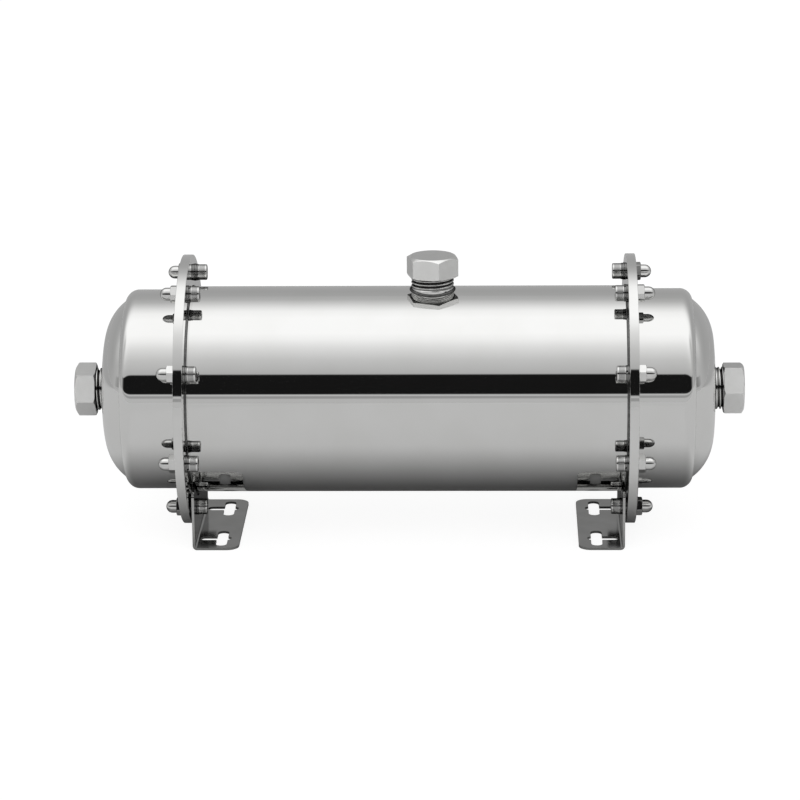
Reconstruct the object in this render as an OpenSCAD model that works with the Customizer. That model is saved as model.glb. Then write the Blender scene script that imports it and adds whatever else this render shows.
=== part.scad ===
// Stainless under-sink ultrafiltration housing, lying on two slotted feet.
// A straight tube carries a flange at each end. A dished cap is screwed to each
// flange with eight screws and acorn nuts. Each cap nose and the top of the tube
// carry a threaded port that is closed by a hexagonal blanking cap.
// X runs along the tube, Z is up, and the origin lies on the mounting face
// under the middle of the tube. Feed enters at -X and drains at +X.

/* [Housing tube] */
// Outside diameter of the housing tube
tube_od = 102; // [96:0.5:110]
// Wall of the housing tube
tube_t = 1.5; // [1:0.1:2.5]
// Length of the housing tube between its two flange faces
tube_len = 218.8; // [200:0.2:400]
// Height of the tube axis above the mounting face
axis_h = 71.5; // [70:0.5:90]

/* [Flanges] */
// Thickness of each flange ring
flange_t = 2.3; // [2:0.1:5]
// Distance from the tube's outside to the bolt circle
bolt_offset = 7.7; // [7.5:0.1:10]
// Distance from the bolt circle to the flange's rim
flange_edge = 8.1; // [6:0.1:9]
// Rounding of the flange's rim, on the side away from the joint
flange_round = 0.3; // [0.2:0.1:0.9]
// Screws in each flange
bolt_count = 8; // [6:1:10]
// Thickness of the flat seal between cap and tube
seal_t = 1; // [0.6:0.1:1.6]
// Metal left between the seal's recess and the screw holes
seal_margin = 2.3; // [1.5:0.1:2.8]

/* [End caps] */
// How far the end cap's skirt stands in from the tube's outside
skirt_inset = 1.5; // [0.5:0.1:3]
// Wall of the pressed end cap
cap_t = 1.2; // [0.8:0.1:1.6]
// Distance from the flange face to the shoulder's outer end
shoulder_depth = 30.6; // [26:0.2:33]
// Outside radius of the shoulder
shoulder_r = 6; // [4:0.5:8]
// Distance from the flange face to the tip of the nose
dome_depth = 41.8; // [41:0.1:50]
// How far the pressed dome stands in from the skirt
dome_inset = 0.4; // [0.2:0.1:3]
// Knuckle radius of the dome
knuckle_r = 25.2; // [18:0.2:32]
// Crown radius of the dome
crown_r = 380; // [180:5:400]

/* [Ports] */
// Outside diameter of the ports' pipe thread (G 1/2)
thread_od = 20.955; // [18:0.001:27]
// Wall of a port, from its bore to the crest of its thread
port_t = 2.4775; // [2:0.0005:4]
// Place of the product port along the tube
product_x = 12; // [-60:1:60]
// Bare thread between the tube and the product's blanking cap
product_neck = 6.7; // [4:0.1:12]
// Bare thread between an end cap's nose and its blanking cap
end_neck = 4.3; // [1.5:0.1:8]
// How far a port reaches inside an end cap
port_root = 3.2; // [2.5:0.1:6]
// Chamfer at the mouth of a port
port_chamfer = 0.8; // [0.4:0.1:1]

/* [Blanking caps] */
// Metal between a blanking cap's thread and its flats
hex_wall = 0.9725; // [0.8:0.0025:4]
// Height of a blanking cap
hex_h = 10.2; // [9:0.1:14]
// Thickness of a blanking cap's closed end
hex_top = 2.2; // [1.5:0.1:3]
// Chamfer at the corners of the closed end, measured along the axis
hex_chamfer = 1.4; // [0.5:0.1:2]
// Chamfer at the corners of the open end, measured along the axis
hex_lead = 0.6; // [0.2:0.1:1]
// Thickness of the gasket inside a blanking cap
gasket_t = 1.5; // [1:0.1:2]
// How far the gasket reaches in over a port's bore
gasket_lip = 1; // [0.5:0.1:3]
// Turn of the inlet's blanking cap from where a flat faces the front
inlet_turn = 15; // [0:0.1:60]
// Turn of the drain's blanking cap from where a flat faces the front
drain_turn = 26.5; // [0:0.1:60]
// Turn of the product's blanking cap from where a flat faces the front
product_turn = 44.3; // [0:0.1:60]

/* [Fasteners] */
// Thread diameter of the flange screws
screw_d = 5; // [4:0.5:5]
// How far a screw reaches into its acorn nut
screw_grip = 4.8; // [4:0.1:6]
// Height of a screw head
head_h = 4.3; // [4:0.1:6]
// Diameter of a screw head
head_d = 7.8; // [7:0.1:9]
// Size across the flats of a screw's hexagon socket
socket_af = 4; // [3:0.5:4]
// Depth of the hexagon socket
socket_deep = 2.6; // [2:0.1:3]
// Thickness of a spring washer
spring_t = 1; // [0.8:0.1:1.6]
// Outside diameter of a spring washer
spring_od = 8.2; // [7.8:0.1:9.6]
// Gap at the split of a spring washer
spring_split = 0.8; // [0.4:0.1:1.2]
// Thickness of a flat washer
flat_t = 0.8; // [0.6:0.1:1.2]
// Outside diameter of a flat washer
flat_od = 8.6; // [8:0.1:11]
// Size across the flats of an acorn nut
nut_af = 8; // [7.5:0.1:9]
// Height of an acorn nut's hexagon
nut_hex_h = 3.5; // [3:0.1:5]
// Full height of an acorn nut
nut_h = 8.7; // [8.4:0.1:11]
// How far an acorn nut's dome stands in from its flats
nut_step = 0.8; // [0.1:0.1:1]

/* [Feet] */
// Sheet thickness of the feet
foot_t = 1.2; // [1:0.1:1.4]
// Width of a foot along the tube
foot_w = 22.5; // [22:0.5:34]
// Length of a foot across the tube
foot_len = 79; // [76:0.5:100]
// Inside radius of a foot's bend
bend_r = 1; // [0.6:0.1:1.4]
// Corner radius of a foot's plate
foot_corner = 6; // [2:0.5:8]
// Height of a foot's ears above its two screws
ear_rise = 12; // [9:0.5:14]
// Corner radius at the top of the ears
ear_corner = 3; // [1:0.5:4]
// Gap between the housing tube and a foot's hollow
hollow_gap = 2; // [1:0.1:2.4]
// Width of the slots in a foot
slot_w = 5.5; // [5:0.1:7]
// Length of the slot along the tube
slot_x_len = 15.6; // [13:0.1:16]
// Length of the slot across the tube
slot_y_len = 22.9; // [14:0.1:24]
// Distance between the two slotted crosses of a foot
slot_pitch = 48.4; // [46:0.1:49]
// Flat metal between the bend and the slot along the tube
slot_margin = 0.3; // [0.3:0.1:1.5]
// How far the slot along the tube runs past the slot across it
slot_nose = 1.8; // [0.5:0.1:3]

/* [Cartridge] */
// Length of a potting collar
collar_len = 24; // [20:0.5:30]
// Wall of a potting collar
collar_t = 4.7; // [4.2:0.1:6]
// How far the potting lies below its collar's outer end
potting_recess = 3; // [1:0.5:5]
// How far the potting lies inside its collar's inner end
potting_lip = 1; // [0.5:0.1:2]
// Cord diameter of the rings that seal a collar
ring_d = 3; // [2:0.1:3.4]
// Wall of the slotted cartridge sleeve
sleeve_t = 1.4; // [1:0.1:2]
// Step between a potting collar's bore and the sleeve
sleeve_step = 1.1; // [0.6:0.1:2]
// Rows of windows along the sleeve
window_rows = 3; // [2:1:5]
// Width of a window round the sleeve
window_w = 12; // [8:0.5:20]
// Web of sleeve left between two rows of windows
window_web = 19.5; // [12:0.5:25]
// Gap between neighbouring bundles of hollow fibres
bundle_gap = 1.2; // [0.8:0.1:2]

/* [Hidden] */
// Clearance of parts that are welded or bonded to each other
bond_gap = 0.05;
// Radial clearance of a screw in its washers and its nut
screw_gap = 0.05;
// Radial clearance of a screw in the flanges and feet
hole_gap = 0.25;
// Radial clearance of a blanking cap's thread on its port
thread_gap = 0.05;
// Gap between a gasket and what it seats on
seat_gap = 0.05;
// Radial gap between a gasket and the cap round it
gasket_gap = 0.15;
// Gap between the cartridge and the tube's wall
slide_gap = 0.3;
// Length that a cut runs past the face it leaves
over = 1;
// Angle of the chamfers on hexagons, from the end face
chamfer_angle = 30;
// Chamfer of the screws, and of the nuts' hexagons
screw_chamfer = 0.5;
nut_chamfer = 0.35;
// Depth of an acorn nut's bore past the end of its screw
nut_spare = 0.7;
// How much wider a ring groove is than its ring
groove_ease = 0.6;
// Turns that lay an end's parts along -X or +X
INLET = 180;
DRAIN = 0;

tube_r = tube_od / 2;
tube_bore_r = tube_r - tube_t;
face_z = tube_len / 2;
bolt_r = tube_r + bolt_offset;
bolt_step = 360 / bolt_count;
flange_r = bolt_r + flange_edge;
hole_r = screw_d / 2 + hole_gap;
screw_hole_r = screw_d / 2 + screw_gap;
screw_len = spring_t + flat_t + 2 * flange_t + screw_grip;

skirt_r = tube_r - skirt_inset;
cap_z0 = face_z + seal_t;
shoulder_z = face_z + shoulder_depth - shoulder_r;
nose_z = face_z + dome_depth;
crown_z = nose_z - crown_r;
knuckle_x = skirt_r - dome_inset - knuckle_r;
knuckle_reach = crown_r - knuckle_r;
knuckle_z = crown_z + sqrt(knuckle_reach * knuckle_reach - knuckle_x * knuckle_x);

thread_r = thread_od / 2;
port_bore_r = thread_r - port_t;
port_hole_r = thread_r + bond_gap;
end_rim_z = nose_z + end_neck;
product_rim_z = tube_r + product_neck;
hex_r = (thread_r + hex_wall + thread_gap) / cos(30);
cap_bore_r = thread_r + thread_gap;
gasket_r = cap_bore_r - gasket_gap;
gasket_z = hex_h - hex_top - seat_gap - gasket_t;
mouth_z = gasket_z - seat_gap;

washer_z = face_z - flange_t - flat_t;
leg_z = washer_z - foot_t;
plate_edge = leg_z + foot_t - foot_w;
slot_x0 = leg_z - bend_r - slot_margin - slot_x_len;
cross_x = slot_x0 + slot_nose + slot_w / 2;
screw_drop = bolt_r * cos(bolt_step / 2);
leg_top = axis_h - screw_drop + ear_rise;

collar_r = tube_bore_r - slide_gap;
collar_bore_r = collar_r - collar_t;
collar_z = face_z - collar_len;
potting_z0 = collar_z + potting_lip;
potting_z1 = face_z - potting_recess;
ring_mid_r = tube_bore_r - ring_d / 2 - bond_gap;
groove_r = ring_mid_r - ring_d / 2 - bond_gap;
groove_w = ring_d + groove_ease;
groove_heights = [collar_len / 3, collar_len * 2 / 3];
seal_r = bolt_r - hole_r - seal_margin;
seal_bore_r = min(skirt_r - cap_t, collar_r - collar_t / 5);

sleeve_r = collar_bore_r - sleeve_step;
sleeve_bore_r = sleeve_r - sleeve_t;
window_pitch = 2 * potting_z0 / window_rows;
// Five bundles and six gaps lie side by side across the sleeve's bore
bundle_d = (2 * sleeve_bore_r - 6 * bundle_gap) / 5;
bundle_pitch = bundle_d + bundle_gap;
// Hexagonal packing: the centres of 19 bundles, in two rings round one
bundle_centres = [for (i = [-2:2], j = [-2:2])
                      if (abs(i + j) <= 2)
                          bundle_pitch * [i + j / 2, j * sin(60)]];

steel = [0.78, 0.78, 0.76];
bright_steel = [0.86, 0.86, 0.84];
dark_steel = [0.45, 0.45, 0.45];
rubber = [0.12, 0.12, 0.13];
silicone = [0.85, 0.85, 0.82];
plastic = [0.93, 0.94, 0.95];
resin = [0.85, 0.80, 0.62];
fibre = [0.97, 0.97, 0.95];

$fn = 96;

// Lays upright children along the tube, their z pointing out of one end
module at_end(end) {
    translate([0, 0, axis_h])
        rotate([0, 0, end])
            rotate([0, 90, 0])
                children();
}

// Lays upright children along the tube, centred on its axis
module along_tube() {
    translate([0, 0, axis_h])
        rotate([0, 90, 0])
            children();
}

// Puts a closing part on an end port, with its z = 0 at the cap's open rim
module on_end_port(end, turn) {
    at_end(end)
        translate([0, 0, end_rim_z])
            rotate([0, 0, turn])
                children();
}

// Puts a closing part on the product port in the same way
module on_product_port(turn) {
    translate([product_x, 0, axis_h + product_rim_z])
        rotate([0, 0, turn])
            children();
}

// Screws are numbered round the flange from the bottom: the first and the last
// are the two lowest, and they hold the foot too
function holds_foot(i) = i == 0 || i == bolt_count - 1;

function seat_z(i) = holds_foot(i) ? leg_z : washer_z;

module at_bolt(i) {
    rotate([0, 0, (i + 0.5) * bolt_step])
        translate([bolt_r, 0, 0])
            children();
}

module ring(r_out, r_in, h) {
    difference() {
        cylinder(r = r_out, h = h);
        translate([0, 0, -over])
            cylinder(r = r_in, h = h + 2 * over);
    }
}

// The screw holes of a flange or foot that lies on z = 0
module screw_holes(h) {
    for (i = [0:bolt_count - 1])
        at_bolt(i)
            translate([0, 0, -over])
                cylinder(r = hole_r, h = h + 2 * over);
}

// A hexagon with its corners chamfered at both ends
module chamfered_hexagon(corner_r, h, bottom, top) {
    run = 1 / tan(chamfer_angle);
    intersection() {
        cylinder(r = corner_r, h = h, $fn = 6);
        rotate_extrude()
            polygon([[0, 0],
                     [corner_r - bottom * run, 0],
                     [corner_r, bottom],
                     [corner_r, h - top],
                     [corner_r - top * run, h],
                     [0, h]]);
    }
}

// A rectangle with round corners, centred on the origin
module rounded_plate(size, corner) {
    square([size[0] - 2 * corner, size[1]], center = true);
    square([size[0], size[1] - 2 * corner], center = true);
    for (x = [-1, 1], y = [-1, 1])
        translate([x * (size[0] / 2 - corner), y * (size[1] / 2 - corner)])
            circle(r = corner);
}

// A straight slot with round ends, its length along x
module slot(length, width) {
    square([length - width, width], center = true);
    for (x = [-1, 1])
        translate([x * (length - width) / 2, 0])
            circle(d = width);
}

module housing_tube() {
    color(steel)
        difference() {
            along_tube()
                translate([0, 0, -face_z])
                    ring(tube_r, tube_bore_r, tube_len);
            translate([product_x, 0, axis_h])
                cylinder(r = port_hole_r, h = tube_od);
        }
}

// A flange's ring with its joint face on z = 0 and its screw holes
module flange_ring(bore_r) {
    difference() {
        rotate_extrude() {
            translate([bore_r, 0])
                square([flange_r - flange_round - bore_r, flange_t]);
            translate([bore_r, 0])
                square([flange_r - bore_r, flange_t - flange_round]);
            translate([flange_r - flange_round, flange_t - flange_round])
                circle(r = flange_round);
        }
        screw_holes(flange_t);
    }
}

module tube_flange(end) {
    color(bright_steel)
        at_end(end)
            translate([0, 0, face_z])
                mirror([0, 0, 1])
                    flange_ring(tube_r + bond_gap);
}

module cap_flange(end) {
    color(bright_steel)
        at_end(end)
            translate([0, 0, face_z])
                difference() {
                    flange_ring(skirt_r + bond_gap);
                    translate([0, 0, -over])
                        cylinder(r = seal_r + bond_gap, h = seal_t + over);
                }
}

module flange_seal(end) {
    color(silicone)
        at_end(end)
            translate([0, 0, face_z])
                ring(seal_r, seal_bore_r, seal_t);
}

// Half of an end cap's section, filled to the axis: the skirt and its shoulder,
// the dome's knuckle and the dome's crown. inset shrinks it to the inner face.
module cap_section(inset) {
    crown_centre = [0, crown_z];
    knuckle_centre = [knuckle_x, knuckle_z];
    square([skirt_r - inset, shoulder_z]);
    square([skirt_r - shoulder_r, shoulder_z + shoulder_r - inset]);
    translate([skirt_r - shoulder_r, shoulder_z])
        circle(r = shoulder_r - inset);
    translate(knuckle_centre)
        circle(r = knuckle_r - inset, $fn = 180);
    intersection() {
        translate(crown_centre)
            circle(r = crown_r - inset, $fn = 720);
        polygon([crown_centre,
                 crown_centre + 1.5 * (knuckle_centre - crown_centre),
                 crown_centre + [0, 1.5 * crown_r]]);
    }
}

module end_cap(end) {
    color(steel)
        at_end(end)
            rotate_extrude()
                intersection() {
                    difference() {
                        cap_section(0);
                        cap_section(cap_t);
                    }
                    translate([port_hole_r, cap_z0])
                        square([skirt_r, nose_z]);
                }
}

// A port: a bored pipe with a chamfered mouth
module port_pipe(root_z, end_z) {
    rotate_extrude()
        polygon([[port_bore_r, root_z],
                 [thread_r, root_z],
                 [thread_r, end_z - port_chamfer],
                 [thread_r - port_chamfer, end_z],
                 [port_bore_r, end_z]]);
}

module end_port(end) {
    color(steel)
        at_end(end)
            port_pipe(nose_z - port_root, end_rim_z + mouth_z);
}

// The port on the tube, its lower end cut to the tube's bore
module product_port() {
    color(steel)
        difference() {
            translate([product_x, 0, axis_h])
                port_pipe(0, product_rim_z + mouth_z);
            along_tube()
                translate([0, 0, -face_z])
                    cylinder(r = tube_bore_r, h = tube_len);
        }
}

module blanking_cap() {
    color(bright_steel)
        difference() {
            chamfered_hexagon(hex_r, hex_h, hex_lead, hex_chamfer);
            translate([0, 0, -over])
                cylinder(r = cap_bore_r, h = hex_h - hex_top + over);
        }
}

module cap_gasket() {
    color(rubber)
        translate([0, 0, gasket_z])
            ring(gasket_r, port_bore_r - gasket_lip, gasket_t);
}

// A socket-head screw with its spring washer's outer face on z = 0
module flange_screw() {
    r = screw_d / 2;
    head_r = head_d / 2;
    translate([0, 0, -spring_t])
        difference() {
            rotate_extrude()
                polygon([[0, -head_h],
                         [head_r - screw_chamfer, -head_h],
                         [head_r, -head_h + screw_chamfer],
                         [head_r, 0],
                         [r, 0],
                         [r, screw_len - screw_chamfer],
                         [r - screw_chamfer, screw_len],
                         [0, screw_len]]);
            translate([0, 0, -head_h - over])
                cylinder(r = socket_af / 2 / cos(30), h = socket_deep + over, $fn = 6);
        }
}

module flange_screws(end) {
    color(bright_steel)
        at_end(end)
            for (i = [0:bolt_count - 1])
                at_bolt(i)
                    translate([0, 0, seat_z(i)])
                        flange_screw();
}

// A split spring washer that lies under z = 0
module spring_washer() {
    translate([0, 0, -spring_t])
        difference() {
            ring(spring_od / 2, screw_hole_r, spring_t);
            rotate([chamfer_angle, 0, 0])
                translate([0, -spring_split / 2, -spring_od])
                    cube([spring_od, spring_split, 2 * spring_od]);
        }
}

module spring_washers(end) {
    color(steel)
        at_end(end)
            for (i = [0:bolt_count - 1])
                at_bolt(i)
                    translate([0, 0, seat_z(i)])
                        spring_washer();
}

module flat_washers(end) {
    color(bright_steel)
        at_end(end)
            for (i = [0:bolt_count - 1])
                at_bolt(i)
                    translate([0, 0, washer_z])
                        ring(flat_od / 2, screw_hole_r, flat_t);
}

// An acorn nut on z = 0: a chamfered hexagon under a round cap
module acorn_nut() {
    dome_r = nut_af / 2 - nut_step;
    difference() {
        union() {
            chamfered_hexagon(nut_af / 2 / cos(30), nut_hex_h, nut_chamfer, nut_chamfer);
            cylinder(r = dome_r, h = nut_h - dome_r);
            translate([0, 0, nut_h - dome_r])
                sphere(r = dome_r);
        }
        translate([0, 0, -over])
            cylinder(r = screw_hole_r, h = screw_grip + nut_spare + over);
    }
}

module acorn_nuts(end) {
    color(bright_steel)
        at_end(end)
            for (i = [0:bolt_count - 1])
                at_bolt(i)
                    translate([0, 0, face_z + flange_t])
                        acorn_nut();
}

// A foot's bent section: x along the tube, y up, the plate on y = 0
module foot_section() {
    outer_r = bend_r + foot_t;
    bend_x = leg_z + foot_t - outer_r;
    translate([plate_edge, 0])
        square([bend_x - plate_edge, foot_t]);
    translate([leg_z, outer_r])
        square([foot_t, leg_top - outer_r]);
    intersection() {
        translate([bend_x, outer_r])
            difference() {
                circle(r = outer_r);
                circle(r = bend_r);
            }
        translate([bend_x, 0])
            square(outer_r);
    }
}

// A foot's leg seen along the tube: two ears beside a hollow for the tube
module leg_outline() {
    difference() {
        translate([0, leg_top / 2 - foot_corner])
            rounded_plate([foot_len, leg_top + 2 * foot_corner], ear_corner);
        translate([0, axis_h])
            circle(r = tube_r + hollow_gap);
        translate([0, axis_h])
            for (i = [0, bolt_count - 1])
                rotate((i + 0.5) * bolt_step - 90)
                    translate([bolt_r, 0])
                        circle(r = hole_r);
    }
}

// A foot's plate seen from above, with a slotted cross at each end
module plate_outline() {
    difference() {
        translate([plate_edge + foot_w / 2 + foot_corner, 0])
            rounded_plate([foot_w + 2 * foot_corner, foot_len], foot_corner);
        for (y = [-slot_pitch / 2, slot_pitch / 2])
            translate([0, y]) {
                translate([slot_x0 + slot_x_len / 2, 0])
                    slot(slot_x_len, slot_w);
                translate([cross_x, 0])
                    rotate(90)
                        slot(slot_y_len, slot_w);
            }
    }
}

// A foot: one sheet bent to the section and cut to both outlines
module foot(end) {
    color(dark_steel)
        rotate([0, 0, end])
            intersection() {
                translate([0, foot_len, 0])
                    rotate([90, 0, 0])
                        linear_extrude(height = 2 * foot_len)
                            foot_section();
                linear_extrude(height = axis_h)
                    plate_outline();
                rotate([90, 0, 90])
                    linear_extrude(height = tube_len)
                        leg_outline();
            }
}

// The cartridge's sleeve, with rows of windows for the filtered water
module cartridge_sleeve() {
    window_len = window_pitch - window_web;
    color(plastic)
        along_tube()
            difference() {
                translate([0, 0, -potting_z0])
                    ring(sleeve_r, sleeve_bore_r, 2 * potting_z0);
                for (row = [0:window_rows - 1], turn = [0:45:135])
                    rotate([0, 0, turn])
                        translate([-tube_r, -window_w / 2,
                                   (row + 0.5) * window_pitch - potting_z0 - window_len / 2])
                            cube([tube_od, window_w, window_len]);
            }
}

module fibre_bundles() {
    color(fibre)
        along_tube()
            for (centre = bundle_centres)
                translate([centre[0], centre[1], -potting_z1])
                    cylinder(d = bundle_d, h = 2 * potting_z1);
}

module potting(end) {
    depth = potting_z1 - potting_z0;
    color(resin)
        at_end(end)
            translate([0, 0, potting_z0])
                difference() {
                    cylinder(r = collar_bore_r - bond_gap, h = depth);
                    for (centre = bundle_centres)
                        translate([centre[0], centre[1], -over])
                            cylinder(r = bundle_d / 2 + bond_gap, h = depth + 2 * over);
                }
}

module collar(end) {
    color(plastic)
        at_end(end)
            translate([0, 0, collar_z])
                rotate_extrude()
                    difference() {
                        translate([collar_bore_r, 0])
                            square([collar_t, collar_len]);
                        for (h = groove_heights)
                            translate([groove_r, h - groove_w / 2])
                                square([collar_t, groove_w]);
                    }
}

module collar_rings(end) {
    color(rubber)
        at_end(end)
            for (h = groove_heights)
                translate([0, 0, collar_z + h])
                    rotate_extrude()
                        translate([ring_mid_r, 0])
                            circle(d = ring_d);
}

housing_tube();
tube_flange(INLET);  // inlet_tube_flange
tube_flange(DRAIN);  // drain_tube_flange
end_cap(INLET);  // inlet_end_cap
end_cap(DRAIN);  // drain_end_cap
cap_flange(INLET);  // inlet_cap_flange
cap_flange(DRAIN);  // drain_cap_flange
flange_seal(INLET);  // inlet_flange_seal
flange_seal(DRAIN);  // drain_flange_seal
end_port(INLET);  // inlet_port
end_port(DRAIN);  // drain_port
product_port();
on_end_port(INLET, inlet_turn) blanking_cap();  // inlet_blanking_cap
on_end_port(DRAIN, drain_turn) blanking_cap();  // drain_blanking_cap
on_product_port(product_turn) blanking_cap();  // product_blanking_cap
on_end_port(INLET, 0) cap_gasket();  // inlet_cap_gasket
on_end_port(DRAIN, 0) cap_gasket();  // drain_cap_gasket
on_product_port(0) cap_gasket();  // product_cap_gasket
flange_screws(INLET);  // inlet_flange_screws
flange_screws(DRAIN);  // drain_flange_screws
spring_washers(INLET);  // inlet_spring_washers
spring_washers(DRAIN);  // drain_spring_washers
flat_washers(INLET);  // inlet_flat_washers
flat_washers(DRAIN);  // drain_flat_washers
acorn_nuts(INLET);  // inlet_acorn_nuts
acorn_nuts(DRAIN);  // drain_acorn_nuts
foot(INLET);  // inlet_foot
foot(DRAIN);  // drain_foot
cartridge_sleeve();
fibre_bundles();
potting(INLET);  // inlet_potting
potting(DRAIN);  // drain_potting
collar(INLET);  // inlet_collar
collar(DRAIN);  // drain_collar
collar_rings(INLET);  // inlet_collar_rings
collar_rings(DRAIN);  // drain_collar_rings
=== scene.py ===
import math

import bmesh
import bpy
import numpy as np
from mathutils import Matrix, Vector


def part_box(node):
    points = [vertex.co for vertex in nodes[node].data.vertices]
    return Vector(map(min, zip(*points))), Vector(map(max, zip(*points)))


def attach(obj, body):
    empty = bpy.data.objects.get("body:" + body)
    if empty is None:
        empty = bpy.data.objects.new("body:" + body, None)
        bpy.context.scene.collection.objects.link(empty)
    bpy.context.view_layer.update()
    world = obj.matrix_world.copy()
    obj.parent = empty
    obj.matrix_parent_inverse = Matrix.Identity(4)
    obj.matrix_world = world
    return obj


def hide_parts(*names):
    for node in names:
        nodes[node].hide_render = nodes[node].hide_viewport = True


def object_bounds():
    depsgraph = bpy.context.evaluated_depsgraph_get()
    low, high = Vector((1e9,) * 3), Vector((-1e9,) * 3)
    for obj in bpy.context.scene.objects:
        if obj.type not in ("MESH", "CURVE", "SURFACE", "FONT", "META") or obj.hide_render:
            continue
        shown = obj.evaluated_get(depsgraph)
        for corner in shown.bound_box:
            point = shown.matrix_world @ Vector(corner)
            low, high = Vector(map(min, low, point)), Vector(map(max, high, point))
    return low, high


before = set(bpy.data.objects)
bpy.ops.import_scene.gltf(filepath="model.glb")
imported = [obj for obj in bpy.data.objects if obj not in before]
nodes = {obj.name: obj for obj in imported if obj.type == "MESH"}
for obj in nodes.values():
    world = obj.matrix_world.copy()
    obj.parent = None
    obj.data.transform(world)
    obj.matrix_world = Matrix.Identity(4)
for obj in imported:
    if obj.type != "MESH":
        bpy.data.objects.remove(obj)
cad_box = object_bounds()

# %% [markdown]
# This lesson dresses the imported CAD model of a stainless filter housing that
# lies on two feet under a sink. The CAD model fixes every size and place, so
# each surface made here starts from the same round numbers and lands on the
# same spot. Shapes that are right in CAD keep their mesh and only get a finish.
# Shapes whose charm is in small relief, such as threads, knurls and rounded
# hexagons, are made again as surfaces worked out with numpy.

MM = 0.001
low, high = (np.array(corner) / MM for corner in cad_box)
print("CAD box in mm:", np.round(high - low, 1))

# %% [markdown]
# A picture of a long, shiny object gives its camera away: the two flange rims
# are circles seen almost edge-on, and the screw heads repeat round them. The
# lens, the distance and the aim below were fitted to those circles. The view is
# a long lens from the front, 16 degrees above the object.

# %% camera
AIM = np.array([-4.62, 0.0, 65.5]) * MM
DISTANCE = 1.700
AZIMUTH = math.radians(1.70)
ELEVATION = math.radians(15.99)
ROLL = math.radians(-0.56)
SENSOR = 36.0
LENS = 153.77
CLIP = (0.05, 60.0)


def camera_axes(azimuth, elevation, roll):
    """Right, up and backward unit vectors of a camera that circles the object.

    Backward points from the aim to the camera, right lies level, up is their
    cross product, and roll turns right and up about the line of sight."""
    back = np.array([math.sin(azimuth) * math.cos(elevation),
                     -math.cos(azimuth) * math.cos(elevation),
                     math.sin(elevation)])
    right = np.array([math.cos(azimuth), math.sin(azimuth), 0.0])
    up = np.cross(back, right)
    turned_right = math.cos(roll) * right + math.sin(roll) * up
    turned_up = math.cos(roll) * up - math.sin(roll) * right
    return turned_right, turned_up, back


right, up, back = camera_axes(AZIMUTH, ELEVATION, ROLL)
placement = np.eye(4)
placement[:3, 0] = right
placement[:3, 1] = up
placement[:3, 2] = back
placement[:3, 3] = AIM + DISTANCE * back
camera_data = bpy.data.cameras.new("camera")
camera_data.sensor_width = SENSOR
camera_data.lens = LENS
camera_data.clip_start, camera_data.clip_end = CLIP
camera = bpy.data.objects.new("camera", camera_data)
camera.matrix_world = Matrix(placement.tolist())
bpy.context.scene.collection.objects.link(camera)
bpy.context.scene.camera = camera
bpy.context.scene.view_settings.view_transform = "Standard"
print("camera at", np.round(placement[:3, 3], 3))

# %% [markdown]
# Most of this lesson's colour comes from node trees. Short helpers keep them
# readable: they add a node, feed a socket from another socket or from a plain
# value, work out a number, map one range to another, and blend two values or
# two colours.

# %% helpers for node trees
def node(tree, kind, **settings):
    """Adds a node of that kind and sets its properties."""
    made = tree.nodes.new(kind)
    for name, value in settings.items():
        setattr(made, name, value)
    return made


def link(tree, source, target):
    """Feeds a socket from another socket, or sets it to a plain value."""
    if isinstance(source, bpy.types.NodeSocket):
        tree.links.new(source, target)
    else:
        target.default_value = source


def math_node(tree, operation, *inputs):
    """A Math node; each input is a number or a socket. Gives its output socket."""
    made = node(tree, "ShaderNodeMath", operation=operation)
    for socket, value in zip(made.inputs, inputs):
        link(tree, value, socket)
    return made.outputs[0]


def map_range(tree, value, source, target):
    """A smooth step: source (low, high) becomes target (low, high), and it stays level outside."""
    made = node(tree, "ShaderNodeMapRange", interpolation_type="SMOOTHSTEP")
    link(tree, value, made.inputs["Value"])
    for name, number in zip(("From Min", "From Max", "To Min", "To Max"), source + target):
        link(tree, number, made.inputs[name])
    return made.outputs["Result"]


def mix_value(tree, factor, a, b):
    """Blends two values, which may be numbers or sockets: a at factor 0, b at factor 1."""
    made = node(tree, "ShaderNodeMix", data_type="FLOAT")
    for place, value in ((0, factor), (2, a), (3, b)):
        link(tree, value, made.inputs[place])
    return made.outputs[0]


def mix_colour(tree, factor, a, b):
    """Blends two colours in the same way."""
    made = node(tree, "ShaderNodeMix", data_type="RGBA")
    for place, value in ((0, factor), (6, a), (7, b)):
        link(tree, value, made.inputs[place])
    return made.outputs[2]


def plain_grey(level):
    """A grey as the four numbers that a colour socket takes."""
    return (level, level, level, 1)


def steel_grey(level, warmth=0.01):
    """A grey with a little less blue, as stainless steel has."""
    return (level, level, level * (1 - warmth), 1)


print("a plain and a steel grey:", plain_grey(0.8), steel_grey(0.8))

# %% [markdown]
# Polished steel has no colour of its own: it shows the room. The room here is
# the world, which mirror rays read by their angle over the tube: a dim gap low
# in front, which draws the black stripe along the housing, a broad softbox
# overhead and a grey wall behind. Low down towards both sides the pattern fades
# into an even grey, which ends the stripe at the end caps and keeps them calm.
# Every other ray finds soft light, stronger in front of the object than over
# it, and the camera finds white.

# %% brightness of the room
# Pairs of angle and level. The angle runs in degrees from straight ahead over
# the top to straight behind.
ROOM = [(0.0, 0.54), (4.4, 0.54), (4.9, 0.35), (7.4, 0.35), (7.8, 0.60), (8.8, 0.60),
        (9.6, 0.009), (30.8, 0.009), (31.8, 0.50), (38.0, 0.56), (48.0, 0.65),
        (62.0, 0.87), (72.0, 1.07), (80.0, 1.16), (102.0, 1.17), (112.0, 1.09),
        (118.6, 0.93), (126.0, 0.72), (134.0, 0.53), (144.0, 0.43), (156.0, 0.40),
        (180.0, 0.42)]
ROOM_PEAK = max(level for _, level in ROOM)
SIDE_GREY = 0.50
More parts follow.
